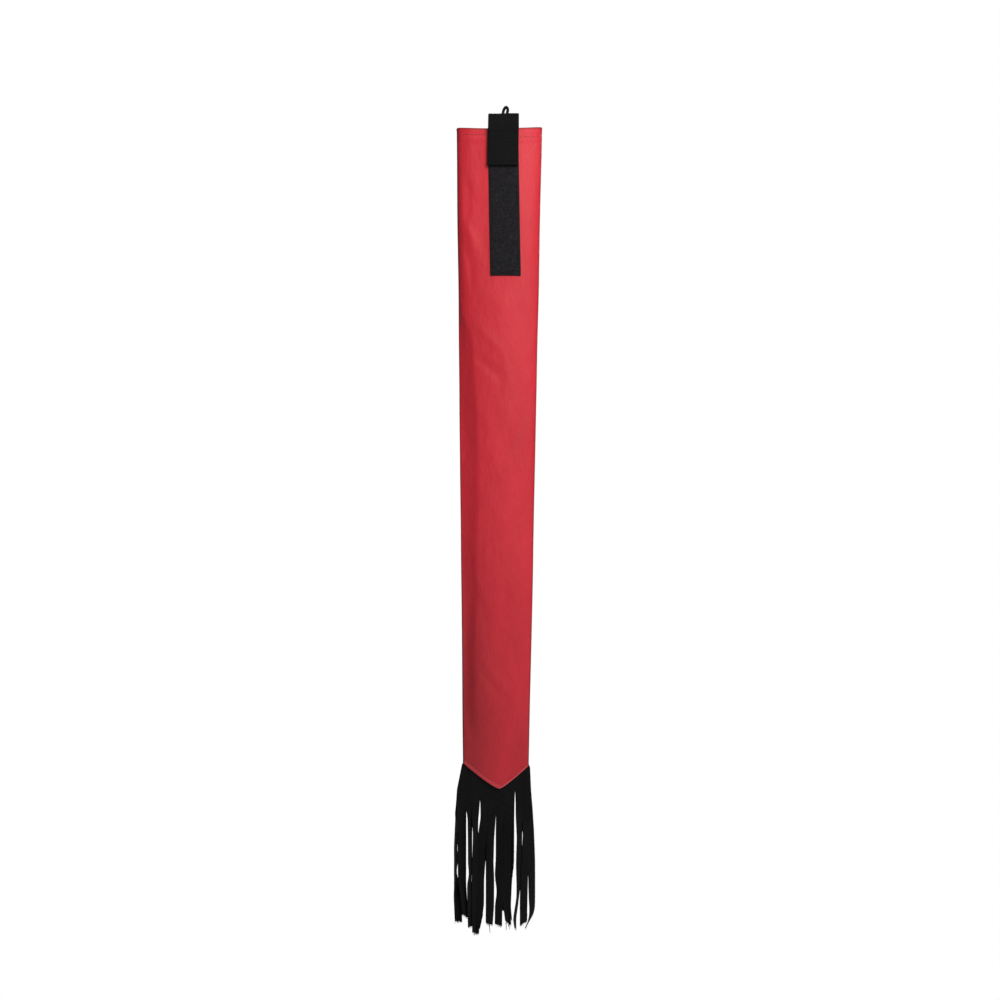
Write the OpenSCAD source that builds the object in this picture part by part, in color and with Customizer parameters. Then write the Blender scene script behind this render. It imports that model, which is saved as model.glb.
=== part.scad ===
// Fabric tail bag: a long flat sleeve, open at the mouth and sewn shut in a V at the foot.
// A strap bridges the mouth from back to front and closes on a loop tape, a cord loop
// stands behind the strap, and two rows of ribbons hang below the V as a fringe.
// It hangs as in use. +Z is up, the front faces -Y, and the origin is the mouth's centre.

/* [Sleeve] */
// Width of the open mouth, from seam to seam (80 laid flat)
mouth_w = 74.4; // [66:0.2:84]
// Depth of the open mouth, front to back
mouth_d = 23; // [21:0.5:26]
// Width of the sleeve at its foot
foot_w = 57.4; // [52:0.2:64]
// Depth of the sleeve low down, above where it is drawn flat
belly_d = 14; // [10:0.5:20]
// Length of each side seam
side_len = 553; // [480:1:620]
// How far the tip of the V hangs below the side seams
v_drop = 21; // [12:1:30]
// Sideways lean of the foot
foot_lean = -3.6; // [-6:0.1:6]
// Thickness of the sleeve's fabric
fabric_t = 0.8; // [0.6:0.1:1]

/* [Hem and seams] */
// Height of the hem folded inside the mouth
hem_h = 10.5; // [8:0.5:14]
// Width of the seam allowances turned inside
allowance_w = 6; // [4:0.5:8]
// Thickness of the sewing thread
thread_d = 0.4; // [0.3:0.05:0.5]

/* [Strap] */
// Width of the strap and of the hook and loop tapes
strap_w = 25.5; // [20:0.5:30]
// Thickness of the strap
strap_t = 1.2; // [0.8:0.1:1.4]
// Sideways place of the strap's middle
strap_x = 3; // [-4:0.5:4]
// Lowest point of the strap's flap, below the mouth
flap_drop = 33; // [26:1:45]
// Lowest point of the loop tape, below the mouth
tape_drop = 128.5; // [90:0.5:150]
// Thickness of the hook tape and of the loop tape
tape_t = 1; // [0.8:0.1:1.2]

/* [Hang loop] */
// Diameter of the loop's cord
cord_d = 2.6; // [1.5:0.1:2.6]

/* [Fringe] */
// Ribbons in each of the two rows
ribbon_count = 9; // [9:1:9]
// Lowest point of the longest ribbon, below the mouth
fringe_drop = 700; // [660:1:760]
// Width of the fringe where the ribbons part
fringe_w = 64; // [58:0.5:70]
// Width of the fringe at its lower end
fringe_end_w = 69; // [64:0.5:78]
// Difference between the longest and the shortest ribbon
ribbon_vary = 11; // [0:1:20]
// Thickness of the fringe's fabric
ribbon_t = 0.7; // [0.5:0.1:0.8]

/* [Hidden] */
$fn = 24;

red = [0.75, 0.2, 0.26];
thread_red = [0.6, 0.14, 0.2];
black = [0.09, 0.09, 0.1];
charcoal = [0.16, 0.16, 0.18];

gap = 0.1;            // between pieces that are sewn or pressed together
swing_gap = 0.3;      // between pieces that move on each other
thread_gap = 0.05;    // between a stitch and the face that it lies on
stitch_pitch = 5;
stitch_len = 3.2;
border = 2;           // from a tape's edge to its line of stitches
front = 1;
back = -1;

// Sleeve
closing_at = 0.84;    // share of the length where the sleeve starts to draw flat
v_seam_d = 5.4;       // depth of the sewn V seam
v_flatness = 0.2;     // low values give a flat front with tight sides
mouth_lean = -0.5;    // sideways shift of the mouth's middle
tip_shift = 0.11;     // how far right the V's tip is, as a share of the half width
corner_tilt = 1.2;    // how much lower the V's right corner is than its middle height
hem_gap = 0.25;       // between the folded hem and the panel
hem_t = 0.6;
hem_reach = 81;       // angle across the panel at which the folded hem ends
panel_cols = 20;
panel_rows = 28;

// Strap. It rises inside the back of the mouth, arches over, and comes down in front.
root_clear = 1.5;     // keeps the flat strap clear of the curved hem at its two edges
root_y = mouth_d / 2 - fabric_t - hem_gap - hem_t - root_clear - strap_t / 2;
root_h = 28;
loop_face_y = -(mouth_d / 2 + gap + tape_t);
hook_face_y = loop_face_y - gap - tape_t;
flap_y = hook_face_y - gap - strap_t / 2;
arch_r = (root_y - flap_y) / 2;
arch_y = (root_y + flap_y) / 2;
arch_z = 1.7;
swing_z = 1;          // height of the axis that the strap swings back about
peel_max = 120;       // how far the flap peels, in degrees
peel_z = arch_z - strap_t / 2 * tan(peel_max / 2) - swing_gap;
hook_top = -4;
hook_end = 2;         // from the flap's end to the hook tape's end
tape_top = -8;

// Hang loop: the cord's middle line, sewn to the back of the strap at both ends
loop_points = [[2.3, 9.15, 5.6], [2.3, 9.05, 7], [2.3, 9.1, 8.8], [2.3, 9.1, 11.2], [2.4, 9.1, 13.4],
               [2.8, 9, 15.6], [3.4, 8.9, 17.6], [4.3, 8.8, 19.1], [5.4, 8.8, 19.8], [6.5, 8.8, 18.8],
               [6.8, 8.9, 17.1], [6.3, 9, 14.8], [5.7, 9.1, 12.2], [5.3, 9.1, 9.6], [5.2, 9.05, 7],
               [5.2, 9.15, 5.6]];
loop_sides = 8;
tack_bars = 5;

// Fringe
yoke_y = 0.9;         // from the middle plane to a yoke's inner face
yoke_in = 12;         // how far a yoke reaches up inside the V seam
ribbon_axis_z = -588; // height of the line that the ribbons swing about
ribbon_y = yoke_y + ribbon_t / 2;
ribbon_root_gap = 0.5;
ribbon_taper = 1.2;   // how much narrower a ribbon is at its tip
ribbon_slant = 2.5;   // rise of a ribbon's cut end from one edge to the other
fringe_x = -4.6;      // middle of the fringe where the ribbons part
fringe_end_x = -4.4;
back_shift = 3;       // sideways shift of the back row against the front row

function mix(a, b, t) = a + (b - a) * t;
function smooth(t) = let (c = max(0, min(1, t))) c * c * (3 - 2 * c);
function half_w(z) = mix(mouth_w, foot_w, min(1, -z / side_len)) / 2;
function lean(z) = mix(mouth_lean, foot_lean, min(1, -z / side_len));
// Height of the V edge, at the share u across from -1 to 1
function foot_z(u) =
    let (from_tip = abs(u - tip_shift) / (1 + tip_shift * sign(tip_shift - u)))
    -(side_len + v_drop * (1 - pow(from_tip, 1.2)) + corner_tilt * u * from_tip);
function drawn(v) = smooth((v - closing_at) / (1 - closing_at));
function half_d(z, v) =
    mix(mix(mouth_d, belly_d, smooth((-z / side_len - 0.25) / 0.6)), v_seam_d, drawn(v)) / 2;
function flatness(v) = mix(1, v_flatness, drawn(v));

// A point of the front panel's skin, or inset from it: t is the angle across, v the share down
function skin(t, v, inset) =
    let (u = sin(t), z = foot_z(u) * v)
    [lean(z) + (half_w(z) - inset) * u,
     -(half_d(z, v) - inset) * pow(max(0, cos(t)), flatness(v)), z];

// The point of the skin at a given x and z, moved outwards by out
function on_skin(x, z, out) =
    let (u = (x - lean(z)) / half_w(z), v = z / foot_z(u))
    [x, -half_d(z, v) * pow(sqrt(max(0, 1 - u * u)), flatness(v)) - out, z];

// The seam allowance's width: none behind the hem, full below it
function allowance(v) = mix(1.3, allowance_w, smooth((v * side_len - hem_h - 2) / 8));

function panel_row(v, inset) =
    let (edge = skin(90, v, 0), half = edge[0] - lean(edge[2]), middle = lean(edge[2]))
    concat(
        [[middle - half + allowance(v), -inset, edge[2]]],
        [for (i = [0 : panel_cols])
            let (t = -90 + 180 * i / panel_cols, p = skin(t, v, inset))
            [p[0], min(p[1], -inset), p[2]]],
        [[middle + half - allowance(v), -inset, edge[2]]]);

// A closed sheet between a grid of outer points and a matching grid of inner points
module sheet(outer, inner) {
    rows = len(outer);
    cols = len(outer[0]);
    n = rows * cols;
    points = [for (grid = [outer, inner]) for (row = grid) for (p = row) p];
    function at(side, r, c) = side * n + r * cols + c;
    skins = [for (r = [0 : rows - 2]) for (c = [0 : cols - 2]) for (side = [0, 1])
        let (a = at(side, r, c), b = at(side, r, c + 1),
             d = at(side, r + 1, c + 1), e = at(side, r + 1, c))
        each side == 0 ? [[a, b, d], [a, d, e]] : [[a, d, b], [a, e, d]]];
    ends = [for (c = [0 : cols - 2]) for (r = [0, rows - 1])
        let (a = at(0, r, c), b = at(0, r, c + 1), d = at(1, r, c + 1), e = at(1, r, c))
        each r == 0 ? [[a, d, b], [a, e, d]] : [[a, b, d], [a, d, e]]];
    sides = [for (r = [0 : rows - 2]) for (c = [0, cols - 1])
        let (a = at(0, r, c), b = at(0, r + 1, c), d = at(1, r + 1, c), e = at(1, r, c))
        each c == 0 ? [[a, b, d], [a, d, e]] : [[a, d, b], [a, e, d]]];
    polyhedron(points, concat(skins, ends, sides));
}

// A straight piece of thread from p to q
module thread(p, q, d = thread_d) {
    run = q - p;
    translate(p)
        rotate([0, acos(run[2] / norm(run)), atan2(run[1], run[0])])
            cylinder(h = norm(run), d = d);
}

// Stitches along the sleeve's skin from (x0, z0) to (x1, z1), standing out from it
module skin_stitches(x0, z0, x1, z1, out) {
    run = norm([x1 - x0, z1 - z0]);
    count = floor(run / stitch_pitch);
    for (i = [0 : count - 1]) {
        a = (i + 0.5) / count - stitch_len / run / 2;
        b = a + stitch_len / run;
        thread(on_skin(mix(x0, x1, a), mix(z0, z1, a), out),
               on_skin(mix(x0, x1, b), mix(z0, z1, b), out));
    }
}

module place(side) {
    mirror([0, side == back ? 1 : 0, 0]) children();
}

module panel(side) {
    rows = [for (i = [0 : panel_rows]) 1 - pow(1 - i / panel_rows, 1.25)];
    color(red) place(side)
        sheet([for (v = rows) panel_row(v, 0)], [for (v = rows) panel_row(v, fabric_t)]);
}

module mouth_hem(side) {
    outer = fabric_t + hem_gap;
    function band(inset) = [for (z = [-hem_gap * 2, -hem_h / 2, -hem_h])
        [for (i = [0 : 2 * panel_cols])
            let (t = mix(-hem_reach, hem_reach, i / panel_cols / 2))
            [lean(z) + (half_w(z) - inset) * sin(t), -(half_d(z, 0) - inset) * cos(t), z]]];
    color(red) place(side) sheet(band(outer), band(outer + hem_t));
}

module mouth_hem_stitches() {
    reach = mouth_w / 2 * 0.9;
    out = thread_d / 2 + 0.15;
    color(thread_red) {
        place(back) skin_stitches(-reach, -5, reach, -5, out);
        place(front) {
            skin_stitches(-reach, -5, strap_x - strap_w / 2 - border, -5, out);
            skin_stitches(strap_x + strap_w / 2 + border, -5, reach, -5, out);
        }
    }
}

// The thread that joins the two allowances of one side seam, inside the sleeve
module seam_stitches(hand) {
    top = -hem_h - 14;
    bottom = -side_len * 0.93;
    y = -fabric_t - thread_d / 2 - thread_gap;
    function seam_point(z) = [lean(z) + hand * (half_w(z) - allowance_w / 2), y, z];
    color(thread_red)
        for (z = [top : -2 * stitch_pitch : bottom])
            thread(seam_point(z), seam_point(z - stitch_len));
}

module loop_tape() {
    cols = 10;
    rows = 16;
    function face(out) = [for (r = [0 : rows])
        let (z = mix(tape_top, -tape_drop, r / rows))
        [for (c = [0 : cols]) on_skin(mix(-0.5, 0.5, c / cols) * strap_w + strap_x, z, out)]];
    color(charcoal) sheet(face(gap + tape_t), face(gap));
}

module loop_tape_stitches() {
    out = gap + tape_t + thread_d / 2 + 0.1;
    left = strap_x - strap_w / 2 + border;
    right = strap_x + strap_w / 2 - border;
    top = -flap_drop - border;
    bottom = -tape_drop + border;
    color(black) {
        skin_stitches(left, top, left, bottom, out);
        skin_stitches(right, top, right, bottom, out);
        skin_stitches(left + border, bottom, right - border, bottom, out);
    }
}

module strap_root() {
    top = swing_z - strap_t / 2 - swing_gap;
    color(black)
        translate([strap_x - strap_w / 2, root_y - strap_t / 2, top - root_h])
            cube([strap_w, strap_t, root_h]);
}

// The box of stitches outside the back panel that holds the strap's root
module strap_root_stitches() {
    out = thread_d / 2 + 0.15;
    left = strap_x - strap_w / 2 + border;
    right = strap_x + strap_w / 2 - border;
    color(thread_red) place(back) {
        for (z = [-11, -root_h + border]) skin_stitches(left + 1, z, right - 1, z, out);
        for (x = [left, right]) skin_stitches(x, -12, x, -root_h + border + 1, out);
    }
}

// A bar of the strap's width along X, round about the axis at (y, z)
module strap_knuckle(y, z) {
    translate([strap_x - strap_w / 2, y, z]) rotate([0, 90, 0]) cylinder(h = strap_w, d = strap_t);
}

module strap_bridge() {
    color(black) {
        strap_knuckle(root_y, swing_z);
        translate([strap_x - strap_w / 2, root_y - strap_t / 2, swing_z])
            cube([strap_w, strap_t, arch_z - swing_z]);
        translate([strap_x - strap_w / 2, arch_y, arch_z])
            rotate([0, 90, 0]) rotate([0, 0, 90]) rotate_extrude(angle = 180, $fn = 72)
                translate([arch_r - strap_t / 2, 0]) square([strap_t, strap_w]);
    }
}

// One polyhedron swept along the loop's points, in rings that face along the cord
module hang_loop() {
    last = len(loop_points) - 1;
    function heading(i) =
        let (run = loop_points[min(i + 1, last)] - loop_points[max(i - 1, 0)]) run / norm(run);
    ring = [for (i = [0 : last])
        let (ahead = heading(i), side = cross(ahead, [0, 1, 0]), across = side / norm(side),
             up = cross(ahead, across))
        for (k = [0 : loop_sides - 1])
            let (a = 360 * k / loop_sides)
            loop_points[i] + cord_d / 2 * (across * cos(a) + up * sin(a))];
    walls = [for (i = [0 : last - 1]) for (k = [0 : loop_sides - 1])
        let (next = (k + 1) % loop_sides, a = i * loop_sides + k, b = i * loop_sides + next)
        each [[a, b, b + loop_sides], [a, b + loop_sides, a + loop_sides]]];
    start = [for (k = [loop_sides - 1 : -1 : 0]) k];
    finish = [for (k = [0 : loop_sides - 1]) last * loop_sides + k];
    color(black) polyhedron(ring, concat(walls, [start], [finish]));
}

// Bars of thread across both ends of the cord
module hang_loop_tack() {
    left = loop_points[1];
    right = loop_points[len(loop_points) - 2];
    reach = cord_d * 0.8;
    color(black)
        for (i = [0 : tack_bars - 1])
            translate([0, cord_d / 2 + thread_d * 0.9, 1 + i * thread_d * 1.4])
                thread(left - [reach, 0, 0], right + [reach, 0, 0]);
}

module strap_flap() {
    corner_r = 1.5;
    color(black) {
        strap_knuckle(flap_y, peel_z);
        translate([strap_x, flap_y + strap_t / 2, peel_z]) rotate([90, 0, 0])
            linear_extrude(strap_t) mirror([0, 1]) {
                drop = flap_drop + peel_z;
                translate([-strap_w / 2, 0]) square([strap_w, drop - corner_r]);
                translate([corner_r - strap_w / 2, 0]) square([strap_w - 2 * corner_r, drop]);
                for (x = [corner_r - strap_w / 2, strap_w / 2 - corner_r])
                    translate([x, drop - corner_r]) circle(corner_r);
            }
    }
}

module hook_tape() {
    inset = 1;
    color(charcoal)
        translate([strap_x - strap_w / 2 + inset, hook_face_y, hook_end - flap_drop])
            cube([strap_w - 2 * inset, tape_t, hook_top + flap_drop - hook_end]);
}

// The border of stitches that holds the hook tape under the flap
module flap_stitches() {
    y = flap_y - strap_t / 2 - thread_d / 2 - thread_gap;
    left = strap_x - strap_w / 2 + border;
    right = strap_x + strap_w / 2 - border;
    top = hook_top;
    bottom = -flap_drop + border;
    color(charcoal) {
        for (x = [left, right])
            for (z = [top : -stitch_pitch : bottom + stitch_pitch])
                thread([x, y, z], [x, y, z - stitch_len]);
        for (x = [left + 1 : stitch_pitch : right - stitch_len])
            for (z = [top + 1, bottom])
                thread([x, y, z], [x + stitch_len, y, z]);
    }
}

// The uncut top of one fringe: sewn into the V seam, and wider below it
module fringe_yoke(side) {
    inner_w = foot_w * 0.43;
    corner_w = foot_w / 2 - 0.5;
    top = -side_len + yoke_in;
    shoulder = -side_len - 3.5;
    bottom = ribbon_axis_z + ribbon_t / 2 + swing_gap;
    m = foot_lean;
    color(black) place(side)
        translate([0, -yoke_y, 0]) rotate([90, 0, 0]) linear_extrude(ribbon_t)
            polygon([[m - inner_w, top], [m - inner_w, shoulder - 2], [m - corner_w, shoulder],
                     [fringe_x - fringe_w / 2, bottom + 6], [fringe_x - fringe_w / 2, bottom],
                     [fringe_x + fringe_w / 2, bottom], [fringe_x + fringe_w / 2, bottom + 6],
                     [m + corner_w, shoulder], [m + inner_w, shoulder - 2], [m + inner_w, top]]);
}

module v_stitches(side) {
    above = 3;
    count = 14;
    out = thread_d / 2 + 0.15;
    function seam_point(u) =
        let (z = foot_z(u) + above, x = lean(z) + half_w(z) * u) on_skin(x, z, out);
    color(thread_red) place(side)
        for (i = [0 : count - 1]) {
            u = mix(-0.8, 0.8, (i + 0.2) / count);
            thread(seam_point(u), seam_point(u + 0.8 * 1.2 / count));
        }
}

// Ribbon i of one row, hanging from its own line of swing; the tips end at different heights
module ribbon(side, i) {
    shift = side == back ? back_shift : 0;
    root_pitch = (fringe_w - shift) / ribbon_count;
    end_pitch = (fringe_end_w - shift) / ribbon_count;
    root_x = fringe_x - fringe_w / 2 + shift + (i + 0.5) * root_pitch;
    end_x = fringe_end_x - fringe_end_w / 2 + shift + (i + 0.5) * end_pitch;
    root_w = root_pitch - ribbon_root_gap;
    end_w = root_w - ribbon_taper;
    wave = side == back ? 0.5 + 0.5 * cos(i * 137) : 0.5 + 0.5 * sin(i * 137 - 124);
    tip = -fringe_drop + ribbon_vary * wave;
    color(black) place(side) translate([0, -ribbon_y, 0]) {
        translate([root_x - root_w / 2, 0, ribbon_axis_z])
            rotate([0, 90, 0]) cylinder(h = root_w, d = ribbon_t);
        translate([0, ribbon_t / 2, 0]) rotate([90, 0, 0]) linear_extrude(ribbon_t)
            polygon([[root_x - root_w / 2, ribbon_axis_z], [root_x + root_w / 2, ribbon_axis_z],
                     [end_x + end_w / 2, tip + ribbon_slant], [end_x - end_w / 2, tip]]);
    }
}

panel(front);  // front_panel
panel(back);  // back_panel
mouth_hem(front);  // front_mouth_hem
mouth_hem(back);  // back_mouth_hem
mouth_hem_stitches();
seam_stitches(-1);  // left_seam_stitches
seam_stitches(1);  // right_seam_stitches
loop_tape();
loop_tape_stitches();
strap_root();
strap_root_stitches();
strap_bridge();
hang_loop();
hang_loop_tack();
strap_flap();
hook_tape();
flap_stitches();
fringe_yoke(front);  // front_fringe_yoke
fringe_yoke(back);  // back_fringe_yoke
v_stitches(front);  // front_v_stitches
v_stitches(back);  // back_v_stitches
for (i = [1 : ribbon_count]) {
    ribbon(front, i - 1);
    ribbon(back, i - 1);
}
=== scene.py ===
"""Looks of the horse tail bag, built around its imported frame. Metres, +Z up, the front faces -Y."""

import math
import random

import bpy
import numpy as np
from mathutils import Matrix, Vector, noise


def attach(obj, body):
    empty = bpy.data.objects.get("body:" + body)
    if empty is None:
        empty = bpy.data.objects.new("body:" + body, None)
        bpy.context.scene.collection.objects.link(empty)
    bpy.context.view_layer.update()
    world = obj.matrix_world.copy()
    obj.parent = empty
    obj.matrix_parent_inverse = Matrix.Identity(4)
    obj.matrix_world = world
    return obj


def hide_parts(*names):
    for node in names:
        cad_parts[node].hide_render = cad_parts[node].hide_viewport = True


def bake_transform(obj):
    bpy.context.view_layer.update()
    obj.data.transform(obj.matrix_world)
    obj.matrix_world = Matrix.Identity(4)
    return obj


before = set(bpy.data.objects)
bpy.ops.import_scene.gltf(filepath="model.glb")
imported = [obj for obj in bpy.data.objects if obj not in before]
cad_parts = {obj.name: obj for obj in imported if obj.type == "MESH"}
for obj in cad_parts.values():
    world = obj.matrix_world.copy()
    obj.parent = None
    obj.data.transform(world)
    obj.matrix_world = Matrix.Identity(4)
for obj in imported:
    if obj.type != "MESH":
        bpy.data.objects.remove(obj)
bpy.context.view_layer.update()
MM = 0.001

# ---------------------------------------------------------------- driving sizes, in millimetres
MOUTH_W, MOUTH_D = 74.4, 22.6
FOOT_W, BELLY_D, V_SEAM_D = 57.4, 14.0, 5.4
SIDE_LEN, V_DROP, MOUTH_LEAN, FOOT_LEAN = 553.0, 21.2, -0.5, -3.6
TIP_SHIFT, CORNER_TILT = 0.11, 1.2  # the V's tip is right of the middle, and its right corner is lower
FABRIC_T = 0.8
CLEAR = 0.1  # between two pieces that lie on each other
ALLOWANCE, HEM_ALLOWANCE = 6.0, 1.3  # how wide the side seams' allowances are, and behind the hem
ALLOWANCE_COLS = (1, 0.6, 0.2)  # the shares of its width that its columns of points are at
EDGE_Y = FABRIC_T / 2 - 0.01  # from the middle plane to the middle of a panel's cloth at the seam
HEM_H, HEM_T, HEM_GAP = 10.5, 0.6, 0.2
STITCH_DOWN, V_STITCH_UP = 5.0, 3.0
DRAWN_IN = 0.8  # how far from a line of stitches the thread draws the cloth in
STRAP_X, STRAP_W, STRAP_T = 3.2, 25.5, 1.2
STRAP_TURN = -0.014  # how far the flap leans off upright, in millimetres a millimetre
TAPE_TOP, TAPE_BOTTOM, TAPE_LEAN = -8.0, -128.5, 2.1
FLAP_END, BORDER = -33.0, 2.0
ROOT_END, ROOT_Y = -27.9, 7.75
ARCH_R, ARCH_Z, SWING_Z, PEEL_Z = 11.075, 1.0, 1.0, 0.36
HINGE_Z = -588.0  # height of the line that the ribbons swing about
LAYER_Y = 1.25  # from the middle plane to each layer of the fringe inside the V seam
NEAR_Y = 0.28  # and below it
RIBBON_NEAR_Y = 0.27  # the nearest that the middle of a ribbon's cloth comes to the middle plane
THREAD_D = 0.42
THREAD_DEPTH = 0.4  # how far below the cloth's face a stitch ends


def smooth(t):
    t = np.clip(t, 0, 1)
    return t * t * (3 - 2 * t)


def mix(a, b, t):
    return a + (b - a) * t


def together(*columns):
    """The columns, numbers or arrays, spread to one shape and set side by side as a last axis."""
    return np.stack(np.broadcast_arrays(*columns), axis=-1)


def half_w(z):
    return mix(MOUTH_W, FOOT_W, np.minimum(1, -z / SIDE_LEN)) / 2


def lean(z):
    return mix(MOUTH_LEAN, FOOT_LEAN, np.clip(-z / SIDE_LEN, 0, 1))


def foot_z(u):
    """Height of the V edge at the share u across, from -1 to 1."""
    from_tip = np.abs(u - TIP_SHIFT) / (1 + TIP_SHIFT * np.sign(TIP_SHIFT - u))
    return -(SIDE_LEN + V_DROP * (1 - from_tip**1.2) + CORNER_TILT * u * from_tip)


def stitch_down(x, side):
    """How far the mouth's stitch line is below the rim. On the front it runs down a little to the right."""
    dip = 2.4 if side < 0 else 0.0
    return STITCH_DOWN + dip * smooth((x - 2) / 12)


def drawn(v):
    return smooth((v - 0.84) / 0.16)


def half_d(z, v):
    body = mix(MOUTH_D, BELLY_D, smooth((-z / SIDE_LEN - 0.25) / 0.6))
    return mix(body, V_SEAM_D, drawn(v)) / 2


def fullness(v):
    """The power that shapes the section: 1 is half an ellipse, and 0.2 is flat with tight side seams."""
    return mix(1.05, 0.2, drawn(v))


# ---------------------------------------------------------------- mesh helpers
def unit(vectors, least=1e-9):
    """The vectors at length 1, but those shorter than least stay short."""
    return vectors / np.maximum(np.linalg.norm(vectors, axis=-1, keepdims=True), least)


def run_along(points):
    """How far along its row each point is."""
    steps = np.diff(points, axis=-2, prepend=points[..., :1, :])
    return np.linalg.norm(steps, axis=-1).cumsum(-1)


def outline_of(quads):
    """The directed edges that only one face has."""
    edges = {(a, b) for q in quads.tolist() for a, b in zip(q, q[1:] + q[:1])}
    return sorted((a, b) for a, b in edges if (b, a) not in edges)


def normals_of(points, quads):
    """The outward direction at each point, from the faces round it."""
    n = np.zeros_like(points)
    corner = [points[quads[:, i]] for i in range(4)]
    face = np.cross(corner[2] - corner[0], corner[3] - corner[1])
    for i in range(4):
        np.add.at(n, quads[:, i], face)
    return unit(n)


def grid_quads(index):
    """The faces of a grid of numbered points."""
    corners = (index[:-1, :-1], index[:-1, 1:], index[1:, 1:], index[1:, :-1])
    return np.stack(corners, axis=-1).reshape(-1, 4)


class Shapes:
    """Collects closed shapes, in millimetres, and makes one object of them."""

    def __init__(self):
        self.points, self.quads, self.cloth, self.count = [], [], [], 0

    def add(self, points, quads, cloth):
        self.points.append(points)
        self.quads.append(quads + self.count)
        self.cloth.append(cloth)
        self.count += len(points)

    def make(self, name, material):
        """The object. Its cloth attribute holds the coordinates that its weave is laid out by; on the
        panels its third coordinate holds painted shade and a painted highlight.
        """
        mesh = bpy.data.meshes.new(name)
        mesh.from_pydata(np.concatenate(self.points) * MM, [], np.concatenate(self.quads))
        layer = mesh.attributes.new("cloth", "FLOAT_VECTOR", "POINT")
        layer.data.foreach_set("vector", np.concatenate(self.cloth).astype(np.float32).ravel())
        mesh.polygons.foreach_set("use_smooth", [True] * len(mesh.polygons))
        mesh.materials.append(material)
        mesh.update()
        obj = bpy.data.objects.new(name, mesh)
        bpy.context.scene.collection.objects.link(obj)
        return obj

    def plate(self, points, quads, thickness, cloth, cut=None):
        """A closed sheet round a middle surface.

        Its edges are round, but flat on the plane cut, which is (axis, place).
        """
        n = normals_of(points, quads)
        half = np.broadcast_to(np.asarray(thickness, float) / 2, (len(points),))[:, None]
        outline = outline_of(quads)
        rim = sorted({a for a, b in outline})
        place = {a: i for i, a in enumerate(rim)}
        out = np.zeros_like(points)
        for a, b in outline:
            away = unit(np.cross(points[b] - points[a], n[a] + n[b]))
            out[a] += away
            out[b] += away
        if cut:
            out[np.abs(points[:, cut[0]] - cut[1]) < 1e-3, 1:] = 0
        edge = points[rim] + unit(out[rim], 1e-6) * half[rim]
        count = len(points)
        sides = []
        for a, b in outline:
            ma, mb = 2 * count + place[a], 2 * count + place[b]
            sides.append((b, a, ma, mb))
            sides.append((a + count, b + count, mb, ma))
        every = np.concatenate([quads, quads[:, ::-1] + count, np.array(sides)])
        shape = np.concatenate([points + n * half, points - n * half, edge])
        self.add(shape, every, np.concatenate([cloth, cloth, cloth[rim]]))

    def sheet(self, grid, thickness, cloth, cut=None):
        rows, cols = grid.shape[:2]
        quads = grid_quads(np.arange(rows * cols).reshape(rows, cols))
        thick = np.broadcast_to(thickness, (rows, cols)).ravel()
        self.plate(grid.reshape(-1, 3), quads, thick, cloth.reshape(-1, 3), cut)

    def tubes(self, paths, radius, flat, sides=4):
        """Closed tubes. paths is (tubes, points, 3), and flat is square to the plane each one bends in."""
        count, steps = paths.shape[:2]
        ahead = unit(np.gradient(paths, axis=1))
        flat = np.broadcast_to(flat, (count, 3))[:, None, :]
        side = unit(flat - ahead * (flat * ahead).sum(2, keepdims=True))
        up = np.cross(ahead, side)
        turn = np.arange(sides) * 2 * math.pi / sides
        r = np.broadcast_to(radius, (count, steps))[..., None, None]
        ring = np.cos(turn)[:, None] * side[:, :, None] + np.sin(turn)[:, None] * up[:, :, None]
        points = (paths[:, :, None] + r * ring).reshape(-1, 3)
        i = np.arange(steps * sides).reshape(steps, sides)
        wall = np.stack([i[:-1], np.roll(i, -1, 1)[:-1], np.roll(i, -1, 1)[1:], i[1:]], -1).reshape(-1, 4)
        first, last = i[0], i[-1]
        caps = [[first[0], first[k + 2], first[k + 1], first[k]] for k in range(1, sides - 2, 2)]
        caps += [[last[0], last[k], last[k + 1], last[k + 2]] for k in range(1, sides - 2, 2)]
        one = np.concatenate([wall, np.array(caps)])
        quads = (one[None] + (np.arange(count) * steps * sides)[:, None, None]).reshape(-1, 4)
        cloth = together(np.arange(sides) / sides, run_along(paths)[:, :, None], 0.0)
        self.add(points, quads, cloth.reshape(-1, 3))

    def stitches(self, a, b, out):
        """Stitches from points a to b, each up out of the cloth, along on it, and down into it again."""
        shares = np.array([0, 0.08, 0.25, 0.5, 0.75, 0.92, 1])[None, :, None]
        side, top = THREAD_D * 0.4, THREAD_D * 0.48
        lifts = np.array([-THREAD_DEPTH, 0.05, side, top, side, 0.05, -THREAD_DEPTH])[None, :, None]
        paths = a[:, None] + (b - a)[:, None] * shares + out[:, None] * lifts
        self.tubes(paths, THREAD_D / 2, np.cross(b - a, out), sides=6)


def stitched(shape, where, length, pitch=2.7, stitch=2.1):
    """Adds a line of stitches. where gives a point and the outward direction at each distance along."""
    start = np.arange(0, max(length - stitch, 0.01), pitch)
    a, out = where(start)
    b, _ = where(start + stitch)
    shape.stitches(a, b, out)


def soft_noise(x, y, z, seed):
    """Smooth noise from -1 to 1 at each of many points."""
    x, y, z = np.broadcast_arrays(x, y, z)
    spots = zip((x + seed * 17.3).ravel(), (y - seed * 5.1).ravel(), (z + seed * 3.7).ravel())
    return np.array([noise.noise(spot) for spot in spots]).reshape(x.shape)


# ---------------------------------------------------------------- materials
def linear(r, g, b):
    """Scene-linear colour from the usual 0 to 255 values."""
    def one(c):
        c = c / 255
        return c / 12.92 if c <= 0.04045 else ((c + 0.055) / 1.055) ** 2.4
    return (one(r), one(g), one(b), 1.0)


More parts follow.
